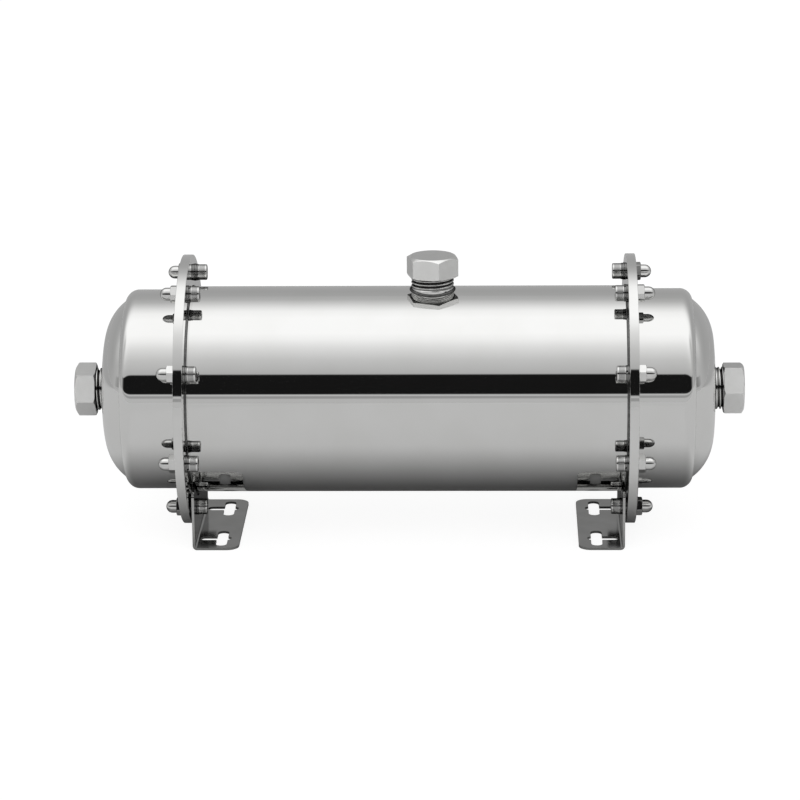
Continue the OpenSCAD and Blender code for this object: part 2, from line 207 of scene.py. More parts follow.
# The grey comes in between two bearings, and only for rays that rise less than
# these shares of their length
SIDE_FADE = (math.radians(66), math.radians(96))
HIGH_FADE = (0.60, 0.80)
SIDE_SHARE = 0.08
SOFT_LIGHT = 0.42
FRONT_LIGHT = 1.20
FRONT_SPAN = (0.0, 0.9)
dim = [degrees for degrees, level in ROOM if level < 0.05]
print("the dim gap stands from", min(dim), "to", max(dim), "degrees")

# %% studio world
world = bpy.data.worlds.new("studio")
bpy.context.scene.world = world
world.use_nodes = True
tree = world.node_tree
tree.nodes.clear()
split = node(tree, "ShaderNodeSeparateXYZ")
link(tree, node(tree, "ShaderNodeTexCoord").outputs["Generated"], split.inputs[0])
x, y, z = split.outputs
ahead = math_node(tree, "MULTIPLY", y, -1.0)
# A little of a ray's sideways part counts as forward or backward, which keeps
# the stripe level to its very end
level_part = math_node(tree, "SQRT", math_node(
    tree, "ADD", math_node(tree, "MULTIPLY", y, y),
    math_node(tree, "MULTIPLY", math_node(tree, "MULTIPLY", x, x), SIDE_SHARE)))
forward = math_node(tree, "MULTIPLY", level_part, math_node(tree, "SIGN", ahead))
angle = math_node(tree, "ARCTAN2", z, forward)
ramp = node(tree, "ShaderNodeValToRGB")
link(tree, math_node(tree, "DIVIDE", angle, math.pi), ramp.inputs["Fac"])
stops = ramp.color_ramp.elements
stops.remove(stops[1])
for place, (degrees, level) in enumerate(ROOM):
    stop = stops.new(degrees / 180) if place else stops[0]
    stop.position = degrees / 180
    stop.color = plain_grey(level / ROOM_PEAK)
room = math_node(tree, "MULTIPLY", ramp.outputs["Color"], ROOM_PEAK)
bearing = math_node(tree, "ARCTAN2", math_node(tree, "ABSOLUTE", x),
                    math_node(tree, "ABSOLUTE", y))
sideways = math_node(tree, "MULTIPLY", map_range(tree, bearing, SIDE_FADE, (0.0, 1.0)),
                     map_range(tree, z, HIGH_FADE, (1.0, 0.0)))
rays = node(tree, "ShaderNodeLightPath")
mirrored = mix_value(tree, sideways, room, SIDE_GREY)
soft = map_range(tree, ahead, FRONT_SPAN, (SOFT_LIGHT, FRONT_LIGHT))
lit = mix_value(tree, rays.outputs["Is Glossy Ray"], soft, mirrored)
seen = mix_value(tree, rays.outputs["Is Camera Ray"], lit, 1.0)
background = node(tree, "ShaderNodeBackground")
background.inputs["Color"].default_value = plain_grey(1)
link(tree, seen, background.inputs["Strength"])
link(tree, background.outputs[0], node(tree, "ShaderNodeOutputWorld").inputs["Surface"])
print("room levels:", len(stops))

# %% [markdown]
# The floor has two jobs. The camera has to see it as a white sheet with only a
# breath of shadow. The steel has to find a pale floor in front and a dark strip
# right under the housing, a painted shadow that only mirror rays see, which
# gives the lower half its fall from grey to dark, and then a pale floor again
# that turns grey further back, which keeps the end caps calm. Light Path parts
# the two jobs inside one material.

# %% floor
FLOOR_SIZE = 40.0
FLOOR_FRONT = 0.86
FLOOR_PAINTED_SHADOW = 0.19
FLOOR_BEHIND = 0.85
FLOOR_SIDE = 0.83
FLOOR_TURN = (-0.10, 0.00)
FLOOR_RETURN = (0.05, 0.25)
SIDE_TURN = (0.14, 0.20)
FLOOR_FAR = 0.60
FAR_TURN = (0.25, 0.45)
SHEET_WHITE = 0.87
SHEET_SHADE = 0.25

half = FLOOR_SIZE / 2
floor_mesh = bpy.data.meshes.new("floor")
floor_mesh.from_pydata([(-half, -half, 0), (half, -half, 0), (half, half, 0), (-half, half, 0)],
                       [], [(0, 1, 2, 3)])
floor = bpy.data.objects.new("floor", floor_mesh)
bpy.context.scene.collection.objects.link(floor)
paper = bpy.data.materials.new("floor_paper")
paper.use_nodes = True
tree = paper.node_tree
tree.nodes.clear()
split = node(tree, "ShaderNodeSeparateXYZ")
link(tree, node(tree, "ShaderNodeTexCoord").outputs["Object"], split.inputs[0])
x, y, z = split.outputs
# Painted shadow: for mirror rays the floor darkens to a dark strip right under the housing
grey = map_range(tree, y, FLOOR_TURN, (FLOOR_FRONT, FLOOR_PAINTED_SHADOW))
for distance, fade, level in ((y, FLOOR_RETURN, FLOOR_BEHIND),
                              (math_node(tree, "ABSOLUTE", x), SIDE_TURN, FLOOR_SIDE),
                              (y, FAR_TURN, FLOOR_FAR)):
    grey = mix_value(tree, map_range(tree, distance, fade, (0.0, 1.0)), grey, level)
matt = node(tree, "ShaderNodeBsdfDiffuse")
link(tree, grey, matt.inputs["Color"])
shade = node(tree, "ShaderNodeBsdfDiffuse")
shade.inputs["Color"].default_value = plain_grey(SHEET_SHADE)
glow = node(tree, "ShaderNodeEmission")
glow.inputs["Strength"].default_value = SHEET_WHITE
sheet = node(tree, "ShaderNodeAddShader")
link(tree, shade.outputs[0], sheet.inputs[0])
link(tree, glow.outputs[0], sheet.inputs[1])
choice = node(tree, "ShaderNodeMixShader")
link(tree, node(tree, "ShaderNodeLightPath").outputs["Is Camera Ray"], choice.inputs["Fac"])
link(tree, matt.outputs[0], choice.inputs[1])
link(tree, sheet.outputs[0], choice.inputs[2])
link(tree, choice.outputs[0], node(tree, "ShaderNodeOutputMaterial").inputs["Surface"])
floor_mesh.materials.append(paper)
print("floor:", FLOOR_SIZE, "m square, in", len(tree.nodes), "nodes")

# %% [markdown]
# The matt and satin surfaces also need a light from the front, low enough to
# leave their tops in shade. A sun lamp with a wide disc acts like a big softbox
# far away: it lights everything evenly and leaves no bright pool on the floor.
# Mirror rays don't see it, because the world already holds what they reflect.

# %% front light
FRONT_STRENGTH = 1.9
FRONT_HEIGHT = 8
FRONT_WIDTH = 30
lamp_data = bpy.data.lights.new("front_light", "SUN")
lamp_data.energy = FRONT_STRENGTH
lamp_data.angle = math.radians(FRONT_WIDTH)
lamp = bpy.data.objects.new("front_light", lamp_data)
lamp.rotation_euler = (math.radians(90 - FRONT_HEIGHT), 0, 0)
lamp.visible_glossy = False
bpy.context.scene.collection.objects.link(lamp)
print("front light stands", FRONT_HEIGHT, "degrees high")

# %% [markdown]
# Real steel is never even. Polishing leaves patches that are a little hazier
# than others, rolling and drawing leave long fine lines, a lathe leaves rings,
# and the metal's grey drifts by a percent or two. Each effect is one node
# group, so that every steel on the housing can use it with its own numbers.

# %% how a group is made
NOISE_SPREAD = (0.32, 0.68)
TONE_SPREAD = (0.30, 0.70)


def new_group(name, inputs, outputs):
    """A shader node group with named sockets. Gives the group and its two end nodes."""
    group = bpy.data.node_groups.new(name, "ShaderNodeTree")
    for direction, sockets in (("INPUT", inputs), ("OUTPUT", outputs)):
        for label, kind in sockets.items():
            group.interface.new_socket(label, in_out=direction, socket_type="NodeSocket" + kind)
    return group, node(group, "NodeGroupInput"), node(group, "NodeGroupOutput")


def noise(tree, position, scale, detail, roughness=0.5):
    """A Noise Texture's value at a position, about 0.5 with a spread of about 0.2."""
    made = node(tree, "ShaderNodeTexNoise")
    for label, value in (("Vector", position), ("Scale", scale), ("Detail", detail),
                         ("Roughness", roughness)):
        link(tree, value, made.inputs[label])
    return made.outputs[0]


print("noise is stretched over", NOISE_SPREAD, "for haze and", TONE_SPREAD, "for tone")


# %% haze and tone
def haze_group():
    """Roughness that drifts between two values in soft patches."""
    group, start, end = new_group(
        "polish_haze", {"Position": "Vector", "Patches per metre": "Float",
                        "Clear": "Float", "Hazy": "Float"}, {"Roughness": "Float"})
    value = noise(group, start.outputs["Position"], start.outputs["Patches per metre"], detail=4.0)
    polish = (start.outputs["Clear"], start.outputs["Hazy"])
    link(group, map_range(group, value, NOISE_SPREAD, polish), end.inputs["Roughness"])
    return group


def tint_group():
    """A grey that drifts between a light and a dark tone."""
    group, start, end = new_group(
        "metal_tone", {"Position": "Vector", "Patches per metre": "Float",
                       "Light": "Color", "Dark": "Color"}, {"Color": "Color"})
    value = noise(group, start.outputs["Position"], start.outputs["Patches per metre"], detail=3.0)
    drift = map_range(group, value, TONE_SPREAD, (0.0, 1.0))
    link(group, mix_colour(group, drift, start.outputs["Light"], start.outputs["Dark"]),
         end.inputs["Color"])
    return group


HAZE, TONE = haze_group(), tint_group()
print("surface groups:", HAZE.name, TONE.name)


# %% lines and rings
def lines_group():
    """Fine lines: noise that is squeezed across them and drawn out along them.

    The three densities are the noise cells per metre along X, Y and Z, so the
    lines run along the axis whose density is the lowest."""
    group, start, end = new_group(
        "fine_lines", {"Position": "Vector", "Cells per metre": "Vector"}, {"Height": "Float"})
    squeezed = node(group, "ShaderNodeVectorMath", operation="MULTIPLY")
    link(group, start.outputs["Position"], squeezed.inputs[0])
    link(group, start.outputs["Cells per metre"], squeezed.inputs[1])
    value = noise(group, squeezed.outputs[0], scale=1.0, detail=3.0, roughness=0.6)
    link(group, value, end.inputs["Height"])
    return group


def rings_group():
    """Lathe marks: noise of the distance from the housing's own axis, which runs along X."""
    group, start, end = new_group(
        "turned_rings", {"Position": "Vector", "Axis height": "Float",
                         "Rings per metre": "Float"}, {"Height": "Float"})
    split = node(group, "ShaderNodeSeparateXYZ")
    link(group, start.outputs["Position"], split.inputs[0])
    _, y, z = split.outputs
    z = math_node(group, "SUBTRACT", z, start.outputs["Axis height"])
    radius = math_node(group, "SQRT", math_node(
        group, "ADD", math_node(group, "POWER", y, 2.0), math_node(group, "POWER", z, 2.0)))
    flat = node(group, "ShaderNodeCombineXYZ")
    link(group, math_node(group, "MULTIPLY", radius, start.outputs["Rings per metre"]),
         flat.inputs[0])
    link(group, noise(group, flat.outputs[0], scale=1.0, detail=2.0), end.inputs["Height"])
    return group


LINES, RINGS = lines_group(), rings_group()
print("relief groups:", LINES.name, RINGS.name)

# %% [markdown]
# A steel finish is then a short list of numbers: how light the metal is, how
# clear its polish, and how its lines run. The relief of the lines is given in
# thousandths of a millimetre, and reaches the shader through a Bump node. Some
# meshes also carry a value per point that paints shade into the metal's colour
# and dulls it a little: it runs from 0 on the ridges of a thread or knurl to 1
# in its roots, and it is also set in sockets and bores and where a fastener
# faces the housing.

# %% how a finish is put together
def use_group(tree, group, **values):
    """Places a node group and feeds its inputs; an underscore stands for a space."""
    made = node(tree, "ShaderNodeGroup", node_tree=group)
    for label, value in values.items():
        link(tree, value, made.inputs[label.replace("_", " ")])
    return made.outputs[0]


def bump(tree, height, depth):
    """The normal of a relief whose height runs from 0 to depth, in metres."""
    made = node(tree, "ShaderNodeBump")
    for label, value in (("Strength", 1.0), ("Distance", depth), ("Height", height)):
        link(tree, value, made.inputs[label])
    return made.outputs[0]


def box_mm(name):
    """Lowest and highest corner of a CAD node at rest, in millimetres."""
    return tuple(np.array(corner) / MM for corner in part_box(name))


tube_low, tube_high = box_mm("housing_tube")
AXIS_H = (tube_low[2] + tube_high[2]) / 2
print("the housing's axis lies", round(AXIS_H, 2), "mm up")

# %% a stainless steel
TONE_PATCHES = 1.7
ROOT_HAZE = 0.2
BARE_POLISH = 0.07
BARE_COLOUR = (0.85, 0.85, 0.84, 1)


def steel(name, light, dark, polish, patches, relief, cells=None, rings=None, valley=0.0,
          metallic=1.0, edge_tint=1.0, turned=False):
    """A stainless steel.

    light and dark are its two greys, polish its clearest and haziest roughness,
    patches how many haze patches there are in a metre, with 1.7 times as many
    patches of tone, and relief the depth of its lines in thousandths of a
    millimetre. cells gives straight lines, rings lathe marks. The argument after
    rings is how much darker the painted shade makes the roots of its relief, its
    sockets and bores and the sides that face the housing, and it switches on
    their dullness. A metallic below 1 scatters part of the light, as a satin skin
    does, and edge_tint is what is left of the glance at a flat angle. turned says
    that the mesh marks where a lathe has cut the satin skin away to bright metal."""
    made = bpy.data.materials.new(name)
    made.use_nodes = True
    tree = made.node_tree
    shader = tree.nodes["Principled BSDF"]
    shader.inputs["Metallic"].default_value = metallic
    shader.inputs["Specular Tint"].default_value = plain_grey(edge_tint)
    position = node(tree, "ShaderNodeTexCoord").outputs["Object"]
    colour = use_group(tree, TONE, Position=position, Patches_per_metre=patches * TONE_PATCHES,
                       Light=steel_grey(light), Dark=steel_grey(dark, warmth=0.015))
    roughness = use_group(tree, HAZE, Position=position, Patches_per_metre=patches,
                          Clear=polish[0], Hazy=polish[1])
    if rings:
        height = use_group(tree, RINGS, Position=position, Axis_height=AXIS_H * MM,
                           Rings_per_metre=rings)
    else:
        height = use_group(tree, LINES, Position=position, Cells_per_metre=cells)
    # Painted shade: a per-point mask darkens the colour in roots, sockets, bores and on sides
    # facing the housing, and adds roughness there
    if valley:
        root = node(tree, "ShaderNodeAttribute", attribute_name="valley").outputs["Fac"]
        colour = mix_colour(tree, root, colour, plain_grey(light * (1 - valley)))
        roughness = math_node(tree, "ADD", roughness,
                              math_node(tree, "MULTIPLY", root, ROOT_HAZE))
    if turned:
        bare = node(tree, "ShaderNodeAttribute", attribute_name="turned").outputs["Fac"]
        colour = mix_colour(tree, bare, colour, BARE_COLOUR)
        roughness = mix_value(tree, bare, roughness, BARE_POLISH)
        link(tree, mix_value(tree, bare, metallic, 1.0), shader.inputs["Metallic"])
    link(tree, colour, shader.inputs["Base Color"])
    link(tree, roughness, shader.inputs["Roughness"])
    link(tree, bump(tree, height, relief * MM * MM), shader.inputs["Normal"])
    return made


print("lathe-bare metal has roughness", BARE_POLISH)

# %% steel finishes
ALONG_X = (15.0, 1400.0, 1400.0)
EVERY_WAY = (900.0, 900.0, 900.0)
finishes = {
    "mirror_steel": steel("mirror_polish", 0.81, 0.79, (0.015, 0.035), 25, 0.25, cells=ALONG_X),
    "flange_steel": steel("turned_polish", 0.81, 0.78, (0.025, 0.055), 40, 0.6, rings=2200.0),
    # Welds: dull weld skin, and a very dark grey that is partly painted shade in the corners
    "weld_steel": steel("weld_bead", 0.17, 0.12, (0.12, 0.20), 300, 0.3, cells=EVERY_WAY,
                        edge_tint=0.3),
    "thread_steel": steel("cut_thread", 0.88, 0.82, (0.02, 0.05), 200, 0.3, cells=EVERY_WAY,
                          valley=0.95, edge_tint=0.1),
    "cap_steel": steel("satin_milling", 0.53, 0.51, (0.32, 0.36), 150, 0.4, cells=EVERY_WAY,
                       valley=0.8, metallic=0.3, turned=True),
    "screw_steel": steel("knurled_steel", 0.80, 0.76, (0.05, 0.09), 300, 0.3, cells=EVERY_WAY,
                         valley=0.85, edge_tint=0.2),
    # Washers: their dark grey is painted shade for the dark gap under the screw heads
    "washer_steel": steel("washer_painted_shade", 0.28, 0.24, (0.10, 0.15), 300, 0.3, cells=EVERY_WAY,
                          valley=0.8, edge_tint=0.2),
    "nut_steel": steel("nut_polish", 0.80, 0.76, (0.03, 0.06), 300, 0.2, cells=EVERY_WAY,
                       valley=0.85, edge_tint=0.15),
    "foot_steel": steel("rolled_sheet", 0.55, 0.51, (0.09, 0.13), 60, 0.8,
                        cells=(1200.0, 40.0, 1200.0), edge_tint=0.55),
}
print("steels:", len(finishes))

# %% [markdown]
# The seals, the gaskets and the cartridge show only when the housing is opened,
# but a reader who takes the model apart should find them finished. Each is a
# matt or glossy plastic with a fine grain of its own.

# %% finishes inside the housing
MOTTLE = 0.9
HAZE_RANGE = 0.06


def moulded(name, colour, roughness, grain, relief):
    """A rubber, resin or plastic with soft mottling and a fine grain.

    grain is the number of grains in a metre. The haze has a quarter as many
    patches, and the mottling an eighth."""
    made = bpy.data.materials.new(name)
    made.use_nodes = True
    tree = made.node_tree
    shader = tree.nodes["Principled BSDF"]
    position = node(tree, "ShaderNodeTexCoord").outputs["Object"]
    dark = tuple(channel * MOTTLE for channel in colour)
    link(tree, use_group(tree, TONE, Position=position, Patches_per_metre=grain / 8,
                         Light=colour + (1,), Dark=dark + (1,)), shader.inputs["Base Color"])
    link(tree, use_group(tree, HAZE, Position=position, Patches_per_metre=grain / 4,
                         Clear=roughness - HAZE_RANGE, Hazy=roughness + HAZE_RANGE),
         shader.inputs["Roughness"])
    height = use_group(tree, LINES, Position=position, Cells_per_metre=(grain,) * 3)
    link(tree, bump(tree, height, relief * MM * MM), shader.inputs["Normal"])
    return made


finishes.update({
    "white_silicone": moulded("silicone_seal", (0.86, 0.86, 0.83), 0.55, 900.0, 4.0),
    "black_rubber": moulded("rubber_gasket", (0.030, 0.030, 0.033), 0.60, 1500.0, 6.0),
    "white_plastic": moulded("moulded_plastic", (0.90, 0.91, 0.92), 0.40, 700.0, 3.0),
    "resin": moulded("potting_resin", (0.80, 0.74, 0.55), 0.25, 250.0, 8.0),
    "white_fibre": moulded("fibre_bundle", (0.94, 0.94, 0.92), 0.70, 2500.0, 20.0),
})
for piece in nodes.values():
    for place, old in enumerate(piece.data.materials):
        piece.data.materials[place] = finishes[old.name.split(".")[0]]
print("finishes:", len(finishes))

# %% [markdown]
# Every new piece is a net of points: rows and columns, computed as whole
# arrays. The columns always go once round and meet. The rows either meet as
# well, as on a washer, or run from one pole to another, as on a screw. At a
# pole all points of a row coincide, and merging them closes the skin.

# %% from a net of points to a piece
SAME_PLACE = 1e-7
NO_LENGTH = 1e-8


def make_piece(name, nets, finish, body="housing", replaces=None, ring=False, **masks):
    """Makes one object of nets of points: copies x rows x columns x 3, in millimetres.

    Each square of a net joins a point, its neighbour round, and the two above
    them. With ring set, the last row joins the first. masks are the values that
    the finish reads, the painted shade and the turned mask, one per point."""
    copies, rows, columns, _ = nets.shape
    number = np.arange(copies * rows * columns).reshape(copies, rows, columns)
    lower = number if ring else number[:, :-1]
    upper = np.roll(number, -1, axis=1) if ring else number[:, 1:]
    squares = np.stack([lower, np.roll(lower, -1, axis=2), np.roll(upper, -1, axis=2), upper],
                       axis=-1)
    mesh = bpy.data.meshes.new(name)
    mesh.from_pydata((nets.reshape(-1, 3) * MM).tolist(), [], squares.reshape(-1, 4).tolist())
    for mask, values in masks.items():
        layer = mesh.attributes.new(mask, "FLOAT", "POINT")
        layer.data.foreach_set("value", np.broadcast_to(values, nets.shape[:-1]).ravel())
    skin = bmesh.new()
    skin.from_mesh(mesh)
    bmesh.ops.remove_doubles(skin, verts=skin.verts, dist=SAME_PLACE)
    bmesh.ops.dissolve_degenerate(skin, edges=skin.edges, dist=NO_LENGTH)
    bmesh.ops.recalc_face_normals(skin, faces=skin.faces)
    skin.to_mesh(mesh)
    skin.free()
    mesh.shade_smooth()
    mesh.materials.append(finishes[finish])
    piece = bpy.data.objects.new(name, mesh)
    bpy.context.scene.collection.objects.link(piece)
    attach(piece, body)
    if replaces:
        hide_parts(replaces)
    print(f"{name}: {len(mesh.polygons)} faces")


# %% [markdown]
# Machined parts have no perfectly sharp edge, and the tiny radius is what
# catches the light. So every profile is first drawn with sharp corners, and one
# function then trades each corner for an arc. Two guard points beside each arc
# keep smooth shading from bleeding into the flat stretches.

# %% profiles with rounded corners
def rounded(corners, radii, steps=3, guard=0.03, closed=False):
    """A path through corners, whose turns are arcs; extra leading axes are kept.

    An arc of radius r that turns by an angle t starts r tan(t / 2) before its
    corner. From there it is: start + r sin(s t) d1 + r (1 - cos(s t)) n, for s
    from 0 to 1, where d1 is the direction before the corner and n is square to
    it, towards the direction after."""
    corners = np.asarray(corners, dtype=float)
    before, middle, after = corners[..., :-2, :], corners[..., 1:-1, :], corners[..., 2:, :]
    if closed:
        before, middle = np.roll(corners, 1, axis=-2), corners
        after = np.roll(corners, -1, axis=-2)
    first = middle - before
    first = first / np.linalg.norm(first, axis=-1, keepdims=True)
    second = after - middle
    second = second / np.linalg.norm(second, axis=-1, keepdims=True)
    cosine = np.clip(np.sum(first * second, axis=-1, keepdims=True), -1.0, 1.0)
    turn = np.arccos(cosine)
    square = (second - cosine * first) / (np.sin(turn) + 1e-12)
    radius = np.broadcast_to(np.asarray(radii, dtype=float)[..., None], turn.shape)
    reach = radius * np.tan(turn / 2)
    swing = (turn * np.linspace(0.0, 1.0, steps + 1))[..., None]
    arc = ((middle - reach * first)[..., None, :]
           + radius[..., None, :] * (np.sin(swing) * first[..., None, :]
                                     + (1 - np.cos(swing)) * square[..., None, :]))
    lead = (middle - (reach + guard) * first)[..., None, :]
    trail = (middle + (reach + guard) * second)[..., None, :]
    path = np.concatenate([lead, arc, trail], axis=-2)
    path = path.reshape(path.shape[:-3] + (-1, 2))
    if closed:
        return path
    return np.concatenate([corners[..., :1, :], path, corners[..., -1:, :]], axis=-2)


def spun(profile, angles):
    """Carries a profile of radius and height round the z axis, as rows x columns x 3.

    x = r cos(a), y = r sin(a). A profile of columns x rows x 2 differs from
    angle to angle, and one of rows x 2 stays the same."""
    profile = np.broadcast_to(profile, (len(angles),) + profile.shape[-2:])
    radius, height = profile[..., 0].T, profile[..., 1].T
    return np.stack([radius * np.cos(angles), radius * np.sin(angles), height], axis=-1)


def once_round(columns):
    """That many equal angles round a circle."""
    return np.arange(columns) * 2 * np.pi / columns


sample = rounded([(0.0, 0.0), (1.0, 0.0), (1.0, 1.0)], [0.2])
print("each rounded corner makes", len(sample) - 2, "points")

# %% [markdown]
# A hexagon is a profile whose radius depends on the angle. With its corners
# rounded, the radius has two formulas: one along the flats and one round the
# corner arcs. The cuts are close together at the corners and far apart on the
# flats, where there is nothing to see.

# %% hexagons
SIXTH = np.pi / 3


def flat_reach(across_flats, corner):
    """Angle from the middle of a flat to where the corner's arc takes over."""
    apothem = across_flats / 2
    return math.atan((apothem - corner) * math.tan(SIXTH / 2) / apothem)


def hexagon_radius(angles, across_flats, corner):
    """Distance from the axis to a hexagon with round corners; a corner lies at angle 0.

    On a flat it is a / cos(p), where a is half the size across flats and p the
    angle from the flat's middle. On a corner's arc it is
    d cos(q) + sqrt(c^2 - d^2 sin(q)^2), where q is the angle from the corner, c
    the arc's radius and d the distance of its centre, (a - c) / cos(30)."""
    apothem = across_flats / 2
    from_flat = np.abs(angles % SIXTH - SIXTH / 2)
    from_corner = SIXTH / 2 - from_flat
    centre = (apothem - corner) / math.cos(SIXTH / 2)
    inside = np.maximum(corner ** 2 - (centre * np.sin(from_corner)) ** 2, 0)
    arc = centre * np.cos(from_corner) + np.sqrt(inside)
    return np.where(from_flat < flat_reach(across_flats, corner), apothem / np.cos(from_flat), arc)


def hexagon_angles(across_flats, corner, flat_steps=6, corner_steps=4):
    """Where a hexagon is cut: evenly along each flat, and closely round each corner."""
    reach = flat_reach(across_flats, corner)
    guard = reach * 0.005
    flat = np.linspace(guard - reach, reach - guard, flat_steps + 1)
    bend = np.linspace(reach, SIXTH - reach, corner_steps + 1)
    one_side = np.concatenate([flat, bend]) + SIXTH / 2
    return (one_side + SIXTH * np.arange(6)[:, None]).ravel()


print("a hexagon of 1.00 across its flats measures",
      round(2 * float(hexagon_radius(0.0, 1.0, 0.0)), 2), "over its corners")

# %% [markdown]
# The three ports are pipe nipples with a G 1/2 thread: 20.955 mm over the
# crests, 14 threads to the inch. Such a thread is a rounded triangle wave wound
# into a helix. It is made as a radius that depends on angle and height, which
# keeps the nipple one closed skin, with a chamfered mouth and a plain bore.
# The housing's length runs along X, so a helper turns upright points to either
# end of it.

# %% places along the housing
FACE = tube_high[0]
TUBE_R = (tube_high[1] - tube_low[1]) / 2
SIDES = {"inlet": -1, "drain": 1}


def at_end(points, side):
    """Lays upright points along the housing: z runs out of that end, and x points down."""
    x, y, z = np.moveaxis(points, -1, 0)
    return np.stack([side * z, side * y, AXIS_H - x], axis=-1)


print("tube radius and end face in mm:", round(TUBE_R, 2), round(FACE, 2))

# %% threaded ports
THREAD_R = 20.955 / 2
PITCH = 25.4 / 14
THREAD_DEPTH = 0.64 * PITCH
PORT_WALL = 2.4775
PORT_BORE_R = THREAD_R - PORT_WALL
MOUTH_CHAMFER = 0.8
BORE_CHAMFER = 0.3
BORE_SHADE = 0.5
ROWS_PER_PITCH = 12
PORT_COLUMNS = 120
NOSE_GAP = 0.6


def thread_form(angles, heights):
    """0 in the root of the thread and 1 on its crest.

    A triangle wave of height / pitch - angle / full turn, with its tips cut off
    a sixth in and smoothed by 3 f^2 - 2 f^3. It climbs with the angle, as a
    right-handed thread does."""
    phase = (heights / PITCH - angles / (2 * np.pi)) % 1.0
    form = np.clip((np.abs(2 * phase - 1) - 1 / 6) * 1.5, 0, 1)
    return form * form * (3 - 2 * form)


def port_net(outer_root, inner_root, start, mouth):
    """A nipple's net and its painted shade, darkest in the thread's roots: up the thread, over the
    mouth and down the bore.

    The roots are its lower rims, one height per angle. The thread starts at
    start and grows to full depth over one pitch."""
    columns = len(outer_root)
    angles = once_round(columns)
    plain = outer_root + (start - outer_root) * np.linspace(0, 1, 4)[:, None]
    rows = int(round((mouth - start) / PITCH * ROWS_PER_PITCH))
    cut = np.broadcast_to(np.linspace(start, mouth, rows + 1)[1:, None], (rows, columns))
    grown = np.clip((cut - start) / PITCH, 0, 1)
    depth = THREAD_DEPTH * grown * (1 - thread_form(angles, cut))
    cone = THREAD_R - MOUTH_CHAMFER + (mouth - cut)
    radius = np.minimum(THREAD_R - depth, cone)
    bore = np.stack([np.full(columns, mouth), np.full(columns, mouth - BORE_CHAMFER), inner_root])
    bore_radius = np.array([PORT_BORE_R + BORE_CHAMFER, PORT_BORE_R, PORT_BORE_R])[:, None]
    heights = np.concatenate([plain, cut, bore])
    radii = np.concatenate([np.full(plain.shape, THREAD_R), radius,
                            np.broadcast_to(bore_radius, bore.shape)])
    # Painted shade: full in the thread's roots, none on the crests, half down the bore
    valley = np.concatenate([np.zeros(plain.shape), depth / THREAD_DEPTH,
                             np.full(bore.shape, BORE_SHADE)])
    net = np.stack([radii * np.cos(angles), radii * np.sin(angles), heights], axis=-1)
    return net, valley


for end, side in SIDES.items():
    port_low, port_high = box_mm(f"{end}_port")
    root, mouth = sorted(np.abs([port_low[0], port_high[0]]))
    nose = box_mm(f"{end}_end_cap")[0 if side < 0 else 1][0] * side
    flat_root = np.full(PORT_COLUMNS, root)
    net, valley = port_net(flat_root, flat_root, nose + NOSE_GAP, mouth)
    make_piece(f"{end}_threaded_port", at_end(net, side)[None], "thread_steel",
               replaces=f"{end}_port", valley=valley, ring=True)

# %% [markdown]
# The product port stands on the housing tube and is cut to the tube's bore, so
# its lower rims are saddles: at an angle a its rim lies at the height
# sqrt(bore^2 - (r sin a)^2) above the tube's axis.

# %% product port
TUBE_WALL = 1.5
SADDLE_GAP = 0.5
port_low, port_high = box_mm("product_port")
PRODUCT_X = (port_low[0] + port_high[0]) / 2
PRODUCT_MOUTH = port_high[2]


def saddle(radius, tube_radius, angles):
    """Height at which an upright cylinder meets the housing's round wall."""
    return AXIS_H + np.sqrt(tube_radius ** 2 - (radius * np.sin(angles)) ** 2)


angles = once_round(PORT_COLUMNS)
net, valley = port_net(saddle(THREAD_R, TUBE_R - TUBE_WALL, angles),
                       saddle(PORT_BORE_R, TUBE_R - TUBE_WALL, angles),
                       AXIS_H + TUBE_R + SADDLE_GAP, PRODUCT_MOUTH)
net[..., 0] += PRODUCT_X
make_piece("product_threaded_port", net[None], "thread_steel",
           replaces="product_port", valley=valley, ring=True)

# %% [markdown]
# Tube, flanges, caps and ports are welded, and a small bead stays in each
# corner. No polishing wheel reaches in there, so the bead keeps a dull skin. Its
# very dark grey is partly painted shade: it draws the dark line of shade in the
# corner beside each flange and at the foot of the product port. A bead is a
# thin ring of round section; a faint ripple in its thickness is what is left of
# the welder's steps.

# %% weld beads
BEAD_STEP = 1.4
BEAD_RIPPLE = 0.006
BEAD_COLUMNS = 6
TUBE_BEAD = 0.7
COVER_BEAD = 0.6
PORT_BEAD = 0.6
PRODUCT_BEAD = 0.9


def bead_angles(radius):
    """Angles round a ring, with six cuts for each step of the welder."""
    return once_round(BEAD_COLUMNS * round(2 * np.pi * radius / BEAD_STEP))


def bead_net(radius, heights, thickness, angles, rows=12):
    """A ring of round section along a circle, whose height may change with the angle.

    The section's radius is thickness * (1 + ripple * sin(n a - cos(s))), where n
    is the number of steps round the ring, a the angle round the ring and s the
    angle round the section: the cosine bends each ripple into a crescent."""
    section = once_round(rows)[:, None]
    steps = round(2 * np.pi * radius / BEAD_STEP)
    size = thickness * (1 + BEAD_RIPPLE * np.sin(steps * angles - np.cos(section)))
    out = radius + size * np.cos(section)
    return np.stack([out * np.cos(angles), out * np.sin(angles),
                     heights + size * np.sin(section)], axis=-1)


